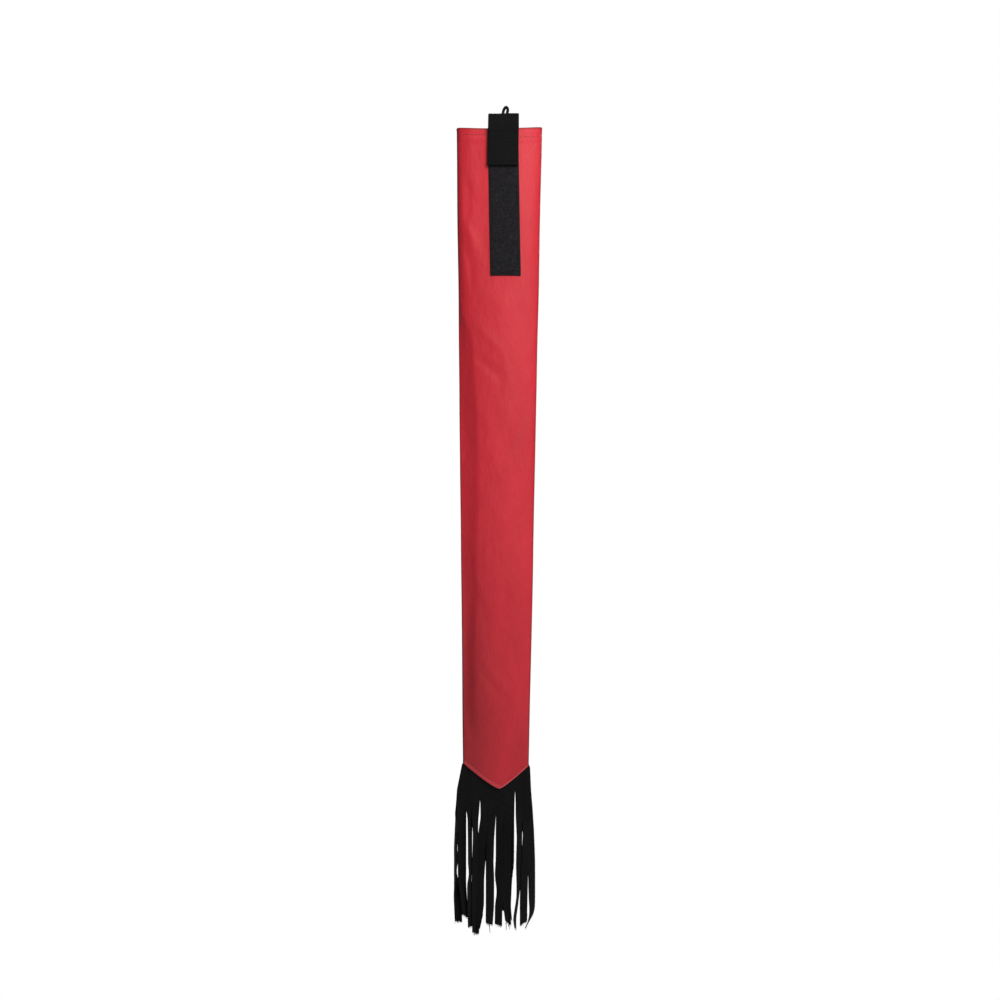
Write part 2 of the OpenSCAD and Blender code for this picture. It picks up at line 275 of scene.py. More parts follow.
class Paint:
    """A material's node tree, built by short calls."""

    def __init__(self, name, roughness=0.8, specular=0.3, sheen=0.0, sheen_roughness=0.4, sheen_tint=None):
        self.material = bpy.data.materials.new(name)
        self.material.use_nodes = True
        self.nodes = self.material.node_tree.nodes
        self.links = self.material.node_tree.links
        self.shader = self.nodes["Principled BSDF"]
        self.shader.inputs["Roughness"].default_value = roughness
        self.shader.inputs["Specular IOR Level"].default_value = specular
        self.shader.inputs["Sheen Weight"].default_value = sheen
        self.shader.inputs["Sheen Roughness"].default_value = sheen_roughness
        if sheen_tint:
            self.shader.inputs["Sheen Tint"].default_value = sheen_tint

    def node(self, kind, inputs=(), **settings):
        n = self.nodes.new(kind)
        for key, value in settings.items():
            setattr(n, key, value)
        for key, value in dict(inputs).items():
            if isinstance(value, bpy.types.NodeSocket):
                self.links.new(value, n.inputs[key])
            else:
                n.inputs[key].default_value = value
        return n

    def math(self, operation, a, b=0.0):
        return self.node("ShaderNodeMath", {0: a, 1: b}, operation=operation).outputs[0]

    def cloth(self, scale):
        """The cloth's own coordinates in millimetres times scale, which is one number or three."""
        scale = (scale,) * 3 if isinstance(scale, (int, float)) else scale
        at = self.node("ShaderNodeAttribute", attribute_name="cloth").outputs["Vector"]
        return self.node("ShaderNodeVectorMath", {0: at, 1: scale}, operation="MULTIPLY").outputs[0]

    def space(self, scale):
        """The part's own coordinates in millimetres times scale."""
        scale = (scale,) * 3 if isinstance(scale, (int, float)) else scale
        at = self.node("ShaderNodeTexCoord").outputs["Object"]
        by = tuple(s / MM for s in scale)
        return self.node("ShaderNodeVectorMath", {0: at, 1: by}, operation="MULTIPLY").outputs[0]

    def noise(self, where, detail=3.0, rough=0.55):
        inputs = {"Vector": where, "Scale": 1.0, "Detail": detail, "Roughness": rough}
        return self.node("ShaderNodeTexNoise", inputs).outputs["Fac"]

    def ramp(self, value, stops):
        made = self.node("ShaderNodeValToRGB", {"Fac": value})
        made.color_ramp.elements[0].position, made.color_ramp.elements[0].color = stops[0]
        made.color_ramp.elements[1].position, made.color_ramp.elements[1].color = stops[-1]
        for position, colour in stops[1:-1]:
            made.color_ramp.elements.new(position).color = colour
        return made.outputs["Color"]

    def mixed(self, share, first, second):
        """Colour first where share is 0 or less, and second where it is 1."""
        return self.node("ShaderNodeMix", {0: share, 6: first, 7: second}, data_type="RGBA").outputs[2]

    def sine(self, value, period):
        """A wave from 0 to 1 along value."""
        turned = self.math("MULTIPLY", value, 2 * math.pi / period)
        return self.math("MULTIPLY_ADD", self.math("SINE", turned), 0.5)

    def weave(self, pitch_x, pitch_y):
        """A plain weave: threads that go over and under each other, from 0 to 1 in height."""
        parts = self.node("ShaderNodeSeparateXYZ", {0: self.cloth(1.0)})
        x, y = parts.outputs["X"], parts.outputs["Y"]
        warp = self.math("SINE", self.math("MULTIPLY", x, math.pi / pitch_x))
        weft = self.math("SINE", self.math("MULTIPLY", y, math.pi / pitch_y))
        over = self.math("MULTIPLY", warp, weft)
        ridges = self.math("MAXIMUM", self.math("ABSOLUTE", warp), self.math("ABSOLUTE", weft))
        return self.math("ADD", self.math("MULTIPLY", over, 0.4), self.math("MULTIPLY", ridges, 0.6))

    def bump(self, height, distance, strength=1.0, below=None):
        inputs = {"Height": height, "Distance": distance * MM, "Strength": strength}
        if below is not None:
            inputs["Normal"] = below
        return self.node("ShaderNodeBump", inputs).outputs[0]

    def colour(self, socket):
        self.links.new(socket, self.shader.inputs["Base Color"])

    def normal(self, socket):
        self.links.new(socket, self.shader.inputs["Normal"])

    def roughness(self, value, low, high):
        made = self.node("ShaderNodeMapRange", {"Value": value, "To Min": low, "To Max": high})
        self.links.new(made.outputs[0], self.shader.inputs["Roughness"])


def red_fabric():
    p = Paint("red_fabric", 0.55, 0.42, sheen=0.06, sheen_roughness=0.4, sheen_tint=linear(255, 190, 190))
    broad = p.noise(p.cloth((0.03, 0.012, 0)), 4.0)
    fine = p.noise(p.cloth((0.9, 0.25, 0)), 2.0)
    tone = p.math("ADD", p.math("MULTIPLY", broad, 0.7), p.math("MULTIPLY", fine, 0.3))
    woven = p.weave(0.42, 0.42)
    # painted shade: the weave's height lightens the colour where threads cross over and darkens it between
    # them
    tone = p.math("ADD", tone, p.math("MULTIPLY", woven, 0.2))
    reds = [(0.25, linear(176, 25, 41)), (0.6, linear(191, 30, 46)), (0.9, linear(205, 38, 53))]
    plain = p.ramp(tone, reds)
    # the cloth attribute's third coordinate: below 0 it is painted shade, above 0 a painted highlight
    edge = p.node("ShaderNodeSeparateXYZ", {0: p.cloth(1.0)}).outputs["Z"]
    # painted shade: the colour is mixed towards dark red
    painted_shade = p.mixed(p.math("MULTIPLY", edge, -0.8), plain, linear(52, 6, 12))
    # painted highlight: the colour is mixed towards pale pink
    p.colour(p.mixed(p.math("MULTIPLY", edge, 0.75), painted_shade, linear(226, 122, 128)))
    crease = p.bump(p.noise(p.cloth((0.13, 0.055, 0)), 6.0, 0.62), 1.1, 0.55)
    p.normal(p.bump(woven, 0.1, 0.55, crease))
    p.roughness(fine, 0.48, 0.64)
    return p.material


def red_thread():
    p = Paint("red_thread", 0.55, 0.35, sheen=0.3)
    ply = p.sine(p.math("ADD", *cloth_turns(p, 1.1)), 1.0)
    # painted shade: the grooves between the plies, low in the bump, are darker and their crests lighter
    p.colour(p.ramp(ply, [(0.0, linear(128, 24, 36)), (1.0, linear(196, 56, 68))]))
    p.normal(p.bump(ply, 0.05, 0.6))
    return p.material


def cloth_turns(p, pitch):
    """The two terms of a helix round a thread: turns round it, and turns along it."""
    parts = p.node("ShaderNodeSeparateXYZ", {0: p.cloth(1.0)})
    return p.math("MULTIPLY", parts.outputs["X"], 2.0), p.math("DIVIDE", parts.outputs["Y"], pitch)


def black_cloth(name, dark, light, pitch, roughness=0.85, sheen=0.15, rough_bump=0.3, specular=0.18):
    """Black woven cloth: strap webbing, fringe or thread, by its colours and the size of its weave."""
    p = Paint(name, roughness, specular, sheen=sheen, sheen_roughness=0.5, sheen_tint=linear(190, 190, 200))
    broad = p.noise(p.cloth((0.12, 0.03, 1)), 4.0)
    fine = p.noise(p.cloth((2.2, 0.9, 1)), 3.0)
    woven = p.weave(*pitch)
    tone = p.math("ADD", p.math("MULTIPLY", broad, 0.5), p.math("MULTIPLY", fine, 0.3))
    # painted shade: the weave's height lightens the colour where threads cross over and darkens it between
    # them
    tone = p.math("ADD", tone, p.math("MULTIPLY", woven, 0.3))
    p.colour(p.ramp(tone, [(0.3, linear(*dark)), (0.85, linear(*light))]))
    base = p.bump(broad, 0.5, rough_bump)
    p.normal(p.bump(woven, 0.2, 0.9, base))
    p.roughness(fine, roughness - 0.1, min(1.0, roughness + 0.1))
    return p.material


def pile_material():
    p = Paint("loop_pile", 0.9, 0.15, sheen=0.35, sheen_roughness=0.35, sheen_tint=linear(200, 200, 210))
    tone = p.noise(p.space((0.55, 0.55, 0.35)), 4.0, 0.65)
    greys = [(0.3, linear(25, 24, 27)), (0.55, linear(42, 40, 44)), (0.8, linear(72, 68, 74))]
    p.colour(p.ramp(tone, greys))
    p.normal(p.bump(p.noise(p.space(2.6), 3.0), 0.25, 0.8))
    return p.material


def hook_material():
    p = Paint("hook_plastic", 0.5, 0.4)
    tone = p.noise(p.space(0.8), 3.0)
    p.colour(p.ramp(tone, [(0.3, linear(17, 17, 19)), (0.75, linear(34, 34, 37))]))
    p.normal(p.bump(p.noise(p.space(3.0), 2.0), 0.05, 0.4))
    p.roughness(tone, 0.4, 0.62)
    return p.material


RED = red_fabric()
RED_THREAD = red_thread()
STRAP = black_cloth("strap_webbing", (4, 5, 5), (17, 18, 19), (0.9, 0.8), 0.85, 0.02, 0.08, specular=0.12)
FRINGE = black_cloth("fringe_fabric", (6, 6, 7), (22, 22, 25), (0.55, 0.55), 0.88, 0.05, 0.4, specular=0.1)
CORD = black_cloth("black_cord", (7, 7, 7), (28, 27, 26), (0.25, 0.9), 0.75, 0.06, specular=0.12)
BLACK_THREAD = black_cloth("black_thread", (7, 7, 8), (22, 22, 24), (0.25, 0.4), 0.7, 0.04, specular=0.12)
PILE = pile_material()
TAPE = black_cloth("loop_tape_weave", (13, 12, 15), (27, 25, 30), (0.5, 0.5), 0.85, 0.1)
HOOK = hook_material()

# ---------------------------------------------------------------- camera
VIEW_H = 0.8706  # height of what the camera frames at the bag, in metres
CAMERA_D = 2.418
VIEW_MIDDLE = -0.3234
camera_data = bpy.data.cameras.new("camera")
camera_data.lens = 36 * CAMERA_D / VIEW_H
camera_data.clip_end = 50
camera = bpy.data.objects.new("camera", camera_data)
camera.location = (0, -CAMERA_D, VIEW_MIDDLE)
camera.rotation_euler = (math.radians(90), 0, 0)
bpy.context.scene.collection.objects.link(camera)
bpy.context.scene.camera = camera

# ---------------------------------------------------------------- hang loop
# The cord's middle line, in millimetres, as the design has it
LOOP_POINTS = [
    (2.3, 9.15, 5.6), (2.3, 9.05, 7), (2.3, 9.1, 8.8), (2.3, 9.1, 11.2), (2.4, 9.1, 13.4),
    (2.8, 9, 15.6), (3.4, 8.9, 17.6), (4.3, 8.8, 19.1), (5.4, 8.8, 19.8), (6.5, 8.8, 18.8),
    (6.8, 8.9, 17.1), (6.3, 9, 14.8), (5.7, 9.1, 12.2), (5.3, 9.1, 9.6), (5.2, 9.05, 7),
    (5.2, 9.15, 5.6),
]
CORD_D = 2.6
BRAID_PITCH, BRAID_STRANDS = 5.2, 4


def curve_through(points, count):
    """A smooth line of count points through the given ones, evenly spaced."""
    p = np.asarray(points, float)
    p = np.concatenate([[2 * p[0] - p[1]], p, [2 * p[-1] - p[-2]]])
    t = np.linspace(0, 1, 24, endpoint=False)[:, None]
    line = []
    for a, b, c, d in zip(p, p[1:], p[2:], p[3:]):
        line.append(0.5 * (2 * b + (c - a) * t + (2 * a - 5 * b + 4 * c - d) * t**2
                           + (3 * b - a - 3 * c + d) * t**3))
    line = np.concatenate(line + [p[-2:-1]])
    run = run_along(line)
    at = np.linspace(0, run[-1], count)
    return together(*(np.interp(at, run, column) for column in line.T))


def hang_loop():
    """The cord, a round braid whose strands swell its radius where they cross over."""
    steps, sides = 170, 28
    path = curve_through(LOOP_POINTS, steps)
    length = run_along(path)[-1]
    turn = np.arange(sides) * 2 * math.pi / sides
    along = np.linspace(0, length, steps)[:, None]
    twist = BRAID_STRANDS * 2 * math.pi * along / BRAID_PITCH
    over = np.maximum(np.cos(BRAID_STRANDS * turn + twist), np.cos(BRAID_STRANDS * turn - twist))
    radius = CORD_D / 2 * (0.92 + 0.09 * over)
    shape = Shapes()
    shape.tubes(path[None], 1.0, np.array([0.0, 1.0, 0.0]), sides)
    middle = np.repeat(path, sides, axis=0)
    shape.points[0] = middle + (shape.points[0] - middle) * radius.reshape(-1, 1)
    obj = shape.make("hang_loop_cord", CORD)
    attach(obj, "bridge")
    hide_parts("hang_loop")


hang_loop()

# ---------------------------------------------------------------- sleeve
PANEL_COLS, PANEL_ROWS = 80, 260

# Creases: the points (x, z) of a line on the cloth, how wide, and how high. A valley's height is negative.
FRONT_CREASES = [
    ([(-23, -166), (-12, -180), (1, -193), (6.5, -213), (6.5, -242)], 5, 0.42),
    ([(-23, -197), (-12, -206), (-3, -214), (2, -223)], 5, -0.5),
    ([(-20, -232), (-8, -262), (-4, -300)], 7, 0.3),
    ([(-30, -40), (-27, -60), (-29, -84)], 5, -0.5),
    ([(-30, -84), (-24, -96), (-19, -110)], 4.5, 0.5),
    ([(-30, -102), (-26, -118), (-23, -140)], 4.5, -0.6),
    ([(-24, -395), (-14, -420), (-12, -440)], 5, -0.45),
    ([(-20, -455), (-8, -474), (4, -488), (12, -498)], 5, 0.35),
    ([(-18, -468), (-6, -486), (6, -500)], 5, -0.4),
    ([(24, -236), (16, -262), (6, -282), (-6, -296)], 6, -0.4),
    ([(18, -330), (8, -352), (-4, -366)], 6, -0.35),
    ([(24, -60), (25, -100), (22, -150)], 6, 0.35),
]
# The fold by the left seam: how far down it is, how far its ridge is from the seam, how soft the
# ridge is, and how hollow the fold
LEFT_FOLD = [
    (150, 0.8, 0.6, 1), (162, 2.5, 0.8, 1), (170, 6.8, 0.7, 1), (184, 10.8, 0.6, 1),
    (201, 12.7, 0.45, 1), (236, 14, 0.4, 1.05), (271, 15.5, 0.45, 1.1), (306, 15.5, 0.8, 1.2),
    (340, 14, 1.2, 1.4), (376, 12.5, 1.1, 1.6), (410, 13.5, 1.2, 1.6), (445, 11, 1, 1.7),
    (560, 10.5, 1, 1.6),
]
BACK_CREASES = [
    ([(24, -60), (22, -110), (22, -170), (18, -230)], 8, -1.2),
    ([(-26, -140), (-14, -168), (-2, -186), (10, -214)], 6, 0.8),
    ([(-24, -158), (-12, -186), (0, -206), (10, -236)], 6, -0.8),
    ([(-18, -280), (-22, -340), (-20, -410), (-22, -480)], 7, -1.4),
    ([(14, -330), (4, -356), (-8, -372)], 6, 0.5),
    ([(18, -420), (8, -446), (-6, -462)], 6, -0.5),
    ([(16, -440), (20, -490), (18, -530)], 6, 0.6),
]


def crease_height(x, z, creases):
    """The sum of the creases' heights at each point, in millimetres."""
    total = np.zeros_like(x)
    for line, width, height in creases:
        line = np.array(line, float)
        run = run_along(line)
        nearest, share = np.full_like(x, 1e9), np.zeros_like(x)
        for a, d, r0, r1 in zip(line, np.diff(line, axis=0), run, run[1:]):
            t = np.clip(((x - a[0]) * d[0] + (z - a[1]) * d[1]) / (d @ d), 0, 1)
            away = np.hypot(x - a[0] - t * d[0], z - a[1] - t * d[1])
            share = np.where(away < nearest, (r0 + t * (r1 - r0)) / run[-1], share)
            nearest = np.minimum(nearest, away)
        ends = smooth(share / 0.25) * smooth((1 - share) / 0.25)
        total += height * np.exp(-((nearest / width) ** 2) * 1.6) * (0.25 + 0.75 * ends)
    return total


def body(z, v, u):
    """How far the sleeve's plain section is from the middle plane. It is flatter at the upper left."""
    flatter = 0.42 * smooth((-u - 0.35) / 0.35) * smooth((z + 160) / 90)
    section = np.maximum(1 - u**2, 0) ** (fullness(v) / 2 * (1 - flatter))
    return EDGE_Y + (half_d(z, v) - FABRIC_T / 2 - EDGE_Y) * section


def fold_left(y, z, v, u):
    """Lays the cloth flat from the left seam to a ridge, where the sleeve is pressed in."""
    depth, *columns = np.array(LEFT_FOLD).T
    reach, soft, hollow = (np.interp(-z, depth, column) for column in columns)
    half = half_w(z) - EDGE_Y
    from_seam = (1 + u) * half
    flat = EDGE_Y + (body(z, v, reach / half - 1) - EDGE_Y) * (np.maximum(from_seam, 0) / reach) ** hollow
    soft = soft * smooth(from_seam / 6) + 1e-4
    share = np.clip(0.5 + 0.5 * (flat - y) / soft, 0, 1)
    folded = mix(flat, y, share) - soft * share * (1 - share)
    return mix(folded, y, smooth((v - 0.9) / 0.07))


def tape_middle(z):
    """Where the middle of the loop tape is across, because it was sewn on a little askew."""
    return STRAP_X - 0.5 + TAPE_LEAN * np.clip((TAPE_TOP - z) / (TAPE_TOP - TAPE_BOTTOM), 0, 1)


def panel_surface(t, v, side):
    """The panel's middle surface. t is the angle across in degrees, v the share of the way down."""
    t, v = np.broadcast_arrays(np.asarray(t, float), np.asarray(v, float))
    u = np.sin(np.radians(t))
    z = foot_z(u) * v
    x = lean(z) + (half_w(z) - EDGE_Y) * u
    y = body(z, v, u)
    if side < 0:
        y = fold_left(y, z, v, u)
    # loose cloth: creases and soft waves, which fade out at the seams, at the hem and under the sewn tape
    inside = smooth((1 - np.abs(u)) / 0.16) * smooth(v / 0.05) * smooth((1 - v) / 0.035)
    creases, seed = (FRONT_CREASES, 3) if side < 0 else (BACK_CREASES, 8)
    lift = crease_height(x, z, creases)
    lift += 0.55 * soft_noise(x / 26, z / 95, 0.3, seed)
    lift += 0.3 * soft_noise((x + z * 0.45) / 16, z / 42, 0.7, seed + 1)
    lift += 0.13 * soft_noise((x - z * 0.3) / 6.5, z / 17, 1.4, seed + 2)
    if side < 0:
        beside = smooth((np.abs(x - tape_middle(z)) - STRAP_W / 2 + 1) / 4)
        below = smooth((TAPE_BOTTOM + 1 - z) / 5)
        inside = inside * mix(0.25, 1, np.maximum(beside, below))
    y = y + lift * inside
    # the hem and the V seam: the cloth is doubled behind them, and the thread draws it in
    down = -z
    up = z - foot_z(u)
    doubled = smooth((HEM_H + 0.5 - down) / 1.2) * smooth((1 - np.abs(u)) / 0.06)
    mouth_line = np.exp(-(((down - stitch_down(x, side)) / DRAWN_IN) ** 2))
    v_line = np.exp(-(((up - V_STITCH_UP) / DRAWN_IN) ** 2)) * smooth((1 - np.abs(u)) / 0.05)
    y = y + 0.3 * doubled - 0.2 * mouth_line - 0.3 * v_line
    # the side seams wander a little, and the rim sags between its ends
    x = x + 0.35 * np.abs(u) ** 3 * soft_noise(np.sign(u) * 4.0, z / 60, 0.1, 21) * smooth(-z / 20)
    z = z + (-2.0 + 0.4 * u + 1.7 * u**2) * np.exp(-down / 60) * (1 - v)
    return together(x, side * y, z)


def skin(x, z, side, out):
    """Points out from the middle of a panel's cloth at x and z, and the outward directions there."""
    x, z = np.broadcast_arrays(np.asarray(x, float), np.asarray(z, float))

    def at(px, pz):
        u = np.clip((px - lean(pz)) / (half_w(pz) - EDGE_Y), -0.999, 0.999)
        return panel_surface(np.degrees(np.arcsin(u)), np.clip(pz / foot_z(u), 0, 1), side)

    here = at(x, z)
    n = np.cross(at(x + 0.4, z) - here, at(x, z - 0.4) - here)
    n = unit(n) * np.sign(n[..., 1:2] * side)
    return here + n * out, n


def painted_shading(grid, t, v, side):
    """Painted light for the panels' colour: below 0 is painted shade, at the seams, the rim and the low
    end; above 0 is a painted highlight on the folded V edge.
    """
    down, up = v * SIDE_LEN, (1 - v) * SIDE_LEN
    from_side = (1 - np.abs(np.sin(np.radians(t)))) * MOUTH_W / 2
    turned_in = ALLOWANCE * np.array(ALLOWANCE_COLS)
    from_side = np.concatenate([turned_in, from_side, turned_in[::-1]])[None, ::-side]
    at_seam, at_rim = np.exp(-((from_side / 0.75) ** 2)), np.exp(-((down / 0.7) ** 2))
    at_edge = np.exp(-(((up - 0.2) / 0.45) ** 2)) * (1 - at_seam)
    # painted shade along the side seams, stronger low down, and at the rim; a painted highlight along the V
    # edge
    tone = -mix(0.75, 1, smooth(v - 0.5)) * at_seam - 0.6 * at_rim + 0.75 * at_edge
    # painted shade: darker towards the bottom
    tone = tone - 0.14 * smooth((-grid[..., 2] - 380) / 170)
    if side < 0:
        # painted shade on the front's lower left, over its fold
        tone = tone - 0.42 * smooth((-grid[..., 2] - 300) / 200) * smooth((6 - grid[..., 0]) / 30)
    return tone


def panel(name, side):
    """One panel of cloth: its face, and the seam allowances turned inside. Gives it and its area."""
    # the columns lie closer together by the seams, and the rows by the rim and by the V edge
    s = np.linspace(-1, 1, PANEL_COLS + 1)
    t = 90 * (0.86 * s + 0.14 * np.sin(s * math.pi / 2))
    v = 1 - (1 - np.linspace(0, 1, PANEL_ROWS + 1)) ** 1.12
    v = np.sort(np.concatenate([v[1:-1], [0, 0.0008, 0.0018, 0.003, 0.9965, 0.998, 0.9992, 1]]))[:, None]
    face = panel_surface(t[None, :], v, side)
    down, up = v * SIDE_LEN, (1 - v) * SIDE_LEN
    # the allowances are cut narrow behind the hem
    wide = mix(HEM_ALLOWANCE, ALLOWANCE, smooth((down - HEM_H - 2) / 8))[:, 0]
    inwards = [together(wide * share, 0.0, 0.0) for share in ALLOWANCE_COLS]
    left = np.stack([face[:, 0] + step for step in inwards], axis=1)
    right = np.stack([face[:, -1] - step for step in reversed(inwards)], axis=1)
    grid = np.concatenate([left, face, right], axis=1)[:, ::-side]
    # the rim is rolled inwards over the hem, and the V edge is folded on itself
    rim, fold = np.exp(-((down / 1.1) ** 2)), np.exp(-((up - 0.9) ** 2))
    off_seams = np.pad(np.ones(PANEL_COLS - 3), 2 + len(inwards))
    thickness = FABRIC_T + (0.9 * rim + 0.5 * fold) * off_seams
    grid[..., 1] -= side * (0.42 * rim - 0.15 * fold) * off_seams
    across = run_along(grid)
    middle = across[:, across.shape[1] // 2][:, None]
    # the third coordinate carries the painted shade and highlight to the red material
    cloth = together(across - middle, grid[..., 2], painted_shading(grid, t, v, side))
    shape = Shapes()
    shape.sheet(grid, thickness, cloth)
    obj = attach(shape.make(name, RED), "sleeve")
    cells = np.cross(np.diff(grid, axis=0)[:, :-1], np.diff(grid, axis=1)[:-1])
    return obj, np.linalg.norm(cells, axis=2).sum() * MM * MM


def mouth_hem(name, side):
    """The end of the cloth, folded down inside the mouth."""
    t, down = np.linspace(-80, 80, 65), np.linspace(1.2, HEM_H, 10)[:, None]
    grid = panel_surface(t[None, :], down / -foot_z(np.sin(np.radians(t)))[None, :], side)[:, ::-side]
    grid[..., 1] -= side * (FABRIC_T / 2 + HEM_GAP + HEM_T / 2)
    grid[..., 1] -= side * 0.12 * np.sin(grid[..., 0] / 3.1) * smooth((down - 6) / 4)
    shape = Shapes()
    shape.sheet(grid, HEM_T, together(run_along(grid), grid[..., 2], 0.0))
    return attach(shape.make(name, RED), "sleeve")


def mouth_thread():
    """Two threads of one seam: it shows on the outside of the cloth and on the hem inside."""
    shape = Shapes()
    # the tape and the flap cover the middle of the front's line
    front_runs, back_runs = ((-35.4, -10.6), (17.0, 34.4)), ((-35.4, 34.4),)
    outside, inside, reach = FABRIC_T / 2, FABRIC_T / 2 + HEM_GAP + HEM_T, 32
    for side, runs in ((-1, front_runs), (1, back_runs)):
        for x0, x1 in runs:
            stitched(shape, lambda s: skin(x0 + s, -stitch_down(x0 + s, side), side, outside), x1 - x0)
        stitched(shape, lambda s: turned(skin(s - reach, -STITCH_DOWN, side, -inside)), 2 * reach)
    obj = shape.make("mouth_hem_thread", RED_THREAD)
    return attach(obj, "sleeve")


def turned(found):
    """The same points, with the directions turned to the inside."""
    return found[0], -found[1]


def side_thread(name, hand):
    """The seam that joins the two allowances, along both of their inner faces."""
    shape = Shapes()
    top, bottom = -12.0, -530.0
    for side in (-1, 1):
        def where(s):
            z = top - s
            x = lean(z) + hand * (half_w(z) - ALLOWANCE / 2)
            y = side * (EDGE_Y + FABRIC_T / 2)
            return together(x, y, z), np.tile((0.0, side, 0.0), (len(s), 1))
        stitched(shape, where, top - bottom, pitch=3.2, stitch=2.5)
    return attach(shape.make(name, RED_THREAD), "sleeve")


def v_thread(name, side):
    """The seam a little above the V edge, which holds the fringe between the panels."""
    shape = Shapes()
    half = FOOT_W / 2 + 0.3
    for u0, u1 in ((-0.93, TIP_SHIFT - 0.03), (TIP_SHIFT + 0.03, 0.93)):
        def where(s):
            u = u0 + s / half
            z = foot_z(u) + V_STITCH_UP
            return skin(lean(z) + (half_w(z) - EDGE_Y) * u, z, side, FABRIC_T / 2)
        stitched(shape, where, (u1 - u0) * half, pitch=2.6, stitch=2.0)
    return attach(shape.make(name, RED_THREAD), "sleeve")


front_panel, front_area = panel("front_panel_cloth", -1)
back_panel, back_area = panel("back_panel_cloth", 1)
front_hem = mouth_hem("front_hem_cloth", -1)
back_hem = mouth_hem("back_hem_cloth", 1)
hem_thread = mouth_thread()
left_thread = side_thread("left_seam_thread", -1)
right_thread = side_thread("right_seam_thread", 1)
front_v = v_thread("front_v_thread", -1)
back_v = v_thread("back_v_thread", 1)
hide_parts("front_panel")
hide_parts("back_panel")
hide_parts("front_mouth_hem")
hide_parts("back_mouth_hem")
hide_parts("mouth_hem_stitches")
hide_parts("left_seam_stitches")
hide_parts("right_seam_stitches")
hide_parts("front_v_stitches")
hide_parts("back_v_stitches")

# ---------------------------------------------------------------- loop tape
TAPE_BASE_T, PILE_H, PILE_D = 0.6, 0.75, 0.17
PRESSED_PILE_H = 0.25  # under the hooks
PILE_COUNT = 5200


def tape_out(deep):
    """From the middle of the front panel's cloth to a depth in the tape, from its back to its front."""
    return FABRIC_T / 2 + CLEAR + deep


def loop_tape():
    """The woven base of the tape, with a flat selvedge along each side."""
    a, z = np.linspace(-STRAP_W / 2, STRAP_W / 2, 31), np.linspace(TAPE_TOP, TAPE_BOTTOM, 121)[:, None]
    x = tape_middle(z) + a[None, :]
    grid, _ = skin(x, z, -1, tape_out(TAPE_BASE_T / 2))
    selvedge = smooth((np.abs(a) - STRAP_W / 2 + 2.2) / 0.5)
    grid[..., 1] -= 0.12 * selvedge[None, :]
    shape = Shapes()
    shape.sheet(grid, TAPE_BASE_T + 0.18 * selvedge, together(x, z, 0.0))
    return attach(shape.make("loop_tape_base", TAPE), "sleeve")


def tape_pile():
    """The loops that the hooks catch: thousands of small arches of fibre, each at its own angle."""
    draw = np.random.default_rng(11)
    half = STRAP_W / 2 - 1.6
    a = draw.uniform(-half, half, PILE_COUNT)
    z = draw.uniform(TAPE_BOTTOM + 1.2, TAPE_TOP - 1.2, PILE_COUNT)
    foot, n = skin(tape_middle(z) + a, z, -1, tape_out(TAPE_BASE_T))
    angle = draw.uniform(0, math.pi, PILE_COUNT)
    across = together(np.cos(angle), 0.0, np.sin(angle))
    width = draw.uniform(0.35, 0.95, PILE_COUNT)[:, None, None]
    height = PILE_H * draw.uniform(0.55, 1.15, PILE_COUNT)
    height = np.where(z > FLAP_END - 1, np.minimum(height, 0.45), height)[:, None, None]
    lean_way = draw.normal(0, 0.35, (PILE_COUNT, 1, 3)) * np.array([1, 0, 1])
    t = np.linspace(0, math.pi, 5)[None, :, None]
    paths = foot[:, None] - across[:, None] * np.cos(t) * width + n[:, None] * (np.sin(t) * height - 0.12)
    paths = paths + lean_way * np.sin(t) * height
    shape = Shapes()
    shape.tubes(paths, PILE_D / 2, np.cross(across, n), sides=4)
    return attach(shape.make("loop_tape_pile", PILE), "sleeve")


def tape_thread():
    """The thread round the part of the tape that the flap leaves open, and one row below the flap."""
    shape = Shapes()
    out = tape_out(TAPE_BASE_T + 0.1)
    edge = STRAP_W / 2 - BORDER
    top, below_flap, bottom = TAPE_TOP - 2.5, FLAP_END - 7.0, TAPE_BOTTOM + BORDER
    for hand in (-1, 1):
        stitched(shape, lambda s: skin(tape_middle(top - s) + hand * edge, top - s, -1, out), top - bottom)
    for z in (below_flap, bottom):
        stitched(shape, lambda s: skin(tape_middle(z) - edge + s, z, -1, out), 2 * edge)
    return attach(shape.make("loop_tape_thread", BLACK_THREAD), "sleeve")


tape_base, pile, tape_seam = loop_tape(), tape_pile(), tape_thread()
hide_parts("loop_tape")
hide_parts("loop_tape_stitches")

# ---------------------------------------------------------------- strap
ARCH_Y = ROOT_Y - ARCH_R
RISE = ARCH_Z - ROOT_END
ARCH_LEN = math.pi * ARCH_R
STRAP_LEN = RISE + ARCH_LEN + ARCH_Z - FLAP_END
CROWN = RISE + ARCH_LEN / 2
ROOT_OUT = FABRIC_T / 2 + HEM_GAP + HEM_T + STRAP_T / 2 + CLEAR
HOOK_BASE_T, HOOK_H = 0.5, 0.75
FLAP_OUT = tape_out(TAPE_BASE_T) + PRESSED_PILE_H + HOOK_H + HOOK_BASE_T + STRAP_T / 2 + CLEAR
RIB = 1.6
TACK_D = 0.38


